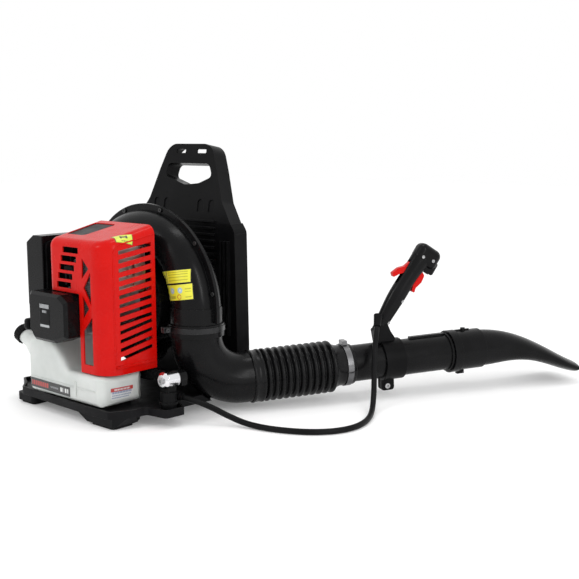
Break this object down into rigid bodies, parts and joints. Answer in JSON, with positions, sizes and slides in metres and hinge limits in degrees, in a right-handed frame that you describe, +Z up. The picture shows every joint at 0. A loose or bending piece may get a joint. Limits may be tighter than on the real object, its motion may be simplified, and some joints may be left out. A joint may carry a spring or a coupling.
{
  "type": "leaf blower",
  "caption": "Backpack petrol leaf blower with a fan housing and engine on a moulded back frame, and a bellows, tube and handle.",
  "frame": {"origin": "on the ground, below the crank axis, in the plane where the fan housing's halves meet", "axes": "+Z up, +Y the way the wearer faces, +X the wearer's right"},
  "size_m": [0.8204, 0.9567, 0.5076],
  "materials": {
    "black_plastic": "fine moulded texture",
    "tray_plastic": "moulded, matt",
    "rubber": "satin",
    "pad_fabric": "woven",
    "red_plastic": "glossy",
    "tank_plastic": "milky, waxy",
    "cast_aluminium": "cast",
    "steel": "machined",
    "zinc": "zinc plated",
    "chrome": "polished",
    "sheet_metal": "heat dulled",
    "ceramic": "glazed",
    "coil_black": "potted",
    "foam": "open foam",
    "rope": "braided"
  },
  "bodies": {
    "root": {"base_tray": "tray_plastic", "rubber_feet": "rubber", "back_plate": "black_plastic", "frame_screws": "zinc", "back_pad": "pad_fabric", "volute_front": "black_plastic", "volute_back": "black_plastic", "casing_screws": "zinc", "rubber_dampers": "rubber", "inlet_guard": "black_plastic", "crankcase": "cast_aluminium", "crank_bearings": "steel", "connecting_rod": "steel", "piston": "steel", "cylinder": "cast_aluminium", "spark_plug": "ceramic", "ignition_coil": "coil_black", "plug_lead": "rubber", "muffler": "sheet_metal", "muffler_shield": "sheet_metal", "starter_housing": "black_plastic", "carb_insulator": "black_plastic", "carburettor": "cast_aluminium", "filter_base": "black_plastic", "filter_element": "foam", "filter_cover": "black_plastic", "engine_cover": "red_plastic", "top_cover": "black_plastic", "fuel_tank": "tank_plastic", "fuel_line": "rubber", "fuel_grommet": "rubber", "damper_cups": "chrome", "damper_posts": "black_plastic", "elbow": "black_plastic", "elbow_clamp": "steel", "bellows": "rubber", "cable_gland": "black_plastic", "throttle_cable": "rubber"},
    "rotor": {"crankshaft": "steel", "flywheel": "cast_aluminium", "starter_cup": "steel", "impeller": "cast_aluminium"},
    "reel": {"rope_reel": "black_plastic"},
    "pull_handle": {"starter_grip": "black_plastic", "starter_rope": "rope"},
    "throttle_arm": {"throttle_lever": "steel"},
    "choke": {"choke_lever": "black_plastic"},
    "primer": {"primer_bulb": "rubber"},
    "cap": {"fuel_cap": "black_plastic"},
    "filter_screw": {"filter_knob": "black_plastic"},
    "blow_tube": {"tube": "black_plastic", "bellows_clamp": "steel", "handle_clamp": "black_plastic", "handle_screws": "zinc", "handle_left": "black_plastic", "handle_right": "black_plastic", "handle_boot": "black_plastic"},
    "nozzle": {"nozzle": "black_plastic"},
    "trigger": {"trigger": "red_plastic"},
    "cruise": {"cruise_lever": "red_plastic"}
  },
  "joints": [
    {"name": "rotor_spin", "type": "hinge", "parent": "root", "child": "rotor", "pos_m": [0, -0.1, 0.205], "axis": [0, 1, 0], "continuous": true, "deforming": ["connecting_rod"]},
    {"name": "starter_pull", "type": "slide", "parent": "root", "child": "pull_handle", "axis": [-1, 0, 0], "range_m": [0, 0.7], "stiffness_N_per_m": 15, "springref_m": -0.4, "deforming": ["starter_rope"]},
    {"name": "reel_spin", "type": "hinge", "parent": "root", "child": "reel", "pos_m": [0, -0.186, 0.188], "axis": [0, 1, 0], "range_deg": [0, 1830]},
    {"name": "hose_swing", "type": "hinge", "parent": "root", "child": "blow_tube", "pos_m": [0.24846, 0.174, 0.06385], "axis": [0, 0, 1], "range_deg": [-30, 30], "deforming": ["bellows", "throttle_cable"]},
    {"name": "nozzle_turn", "type": "hinge", "parent": "blow_tube", "child": "nozzle", "pos_m": [0.43228, 0.4924, 0.0799], "axis": [0.4995, 0.8652, 0.0436], "range_deg": [0, 34]},
    {"name": "trigger_pull", "type": "hinge", "parent": "blow_tube", "child": "trigger", "pos_m": [0.37979, 0.40147, 0.25324], "axis": [-0.866, 0.5, 0], "range_deg": [0, 14], "stiffness_Nm_per_rad": 0.8, "springref_deg": -17.19},
    {"name": "throttle_turn", "type": "hinge", "parent": "root", "child": "throttle_arm", "pos_m": [-0.072, -0.086, 0.268], "axis": [0, 0, 1], "range_deg": [0, 60.5]},
    {"name": "cruise_set", "type": "hinge", "parent": "blow_tube", "child": "cruise", "pos_m": [0.37094, 0.38614, 0.26452], "axis": [-0.866, 0.5, 0], "range_deg": [0, 32]},
    {"name": "choke_turn", "type": "hinge", "parent": "root", "child": "choke", "pos_m": [-0.08, -0.11, 0.262], "axis": [0, -1, 0], "range_deg": [0, 45]},
    {"name": "primer_push", "type": "slide", "parent": "root", "child": "primer", "axis": [0, 0, 1], "range_m": [0, 0.0035], "stiffness_N_per_m": 500, "springref_m": -0.001},
    {"name": "fuel_cap_turn", "type": "hinge", "parent": "root", "child": "cap", "pos_m": [-0.18029, -0.156, 0.12795], "axis": [-0.92, 0, 0.392], "range_deg": [0, 540]},
    {"name": "filter_knob_turn", "type": "hinge", "parent": "root", "child": "filter_screw", "pos_m": [-0.17, -0.104, 0.258], "axis": [-1, 0, 0], "range_deg": [0, 720]}
  ],
  "couplings": [
    {"joint": "reel_spin", "follows": "starter_pull", "rad_per_m": 45.455},
    {"joint": "throttle_turn", "follows": "trigger_pull", "ratio": 4.2857}
  ]
}
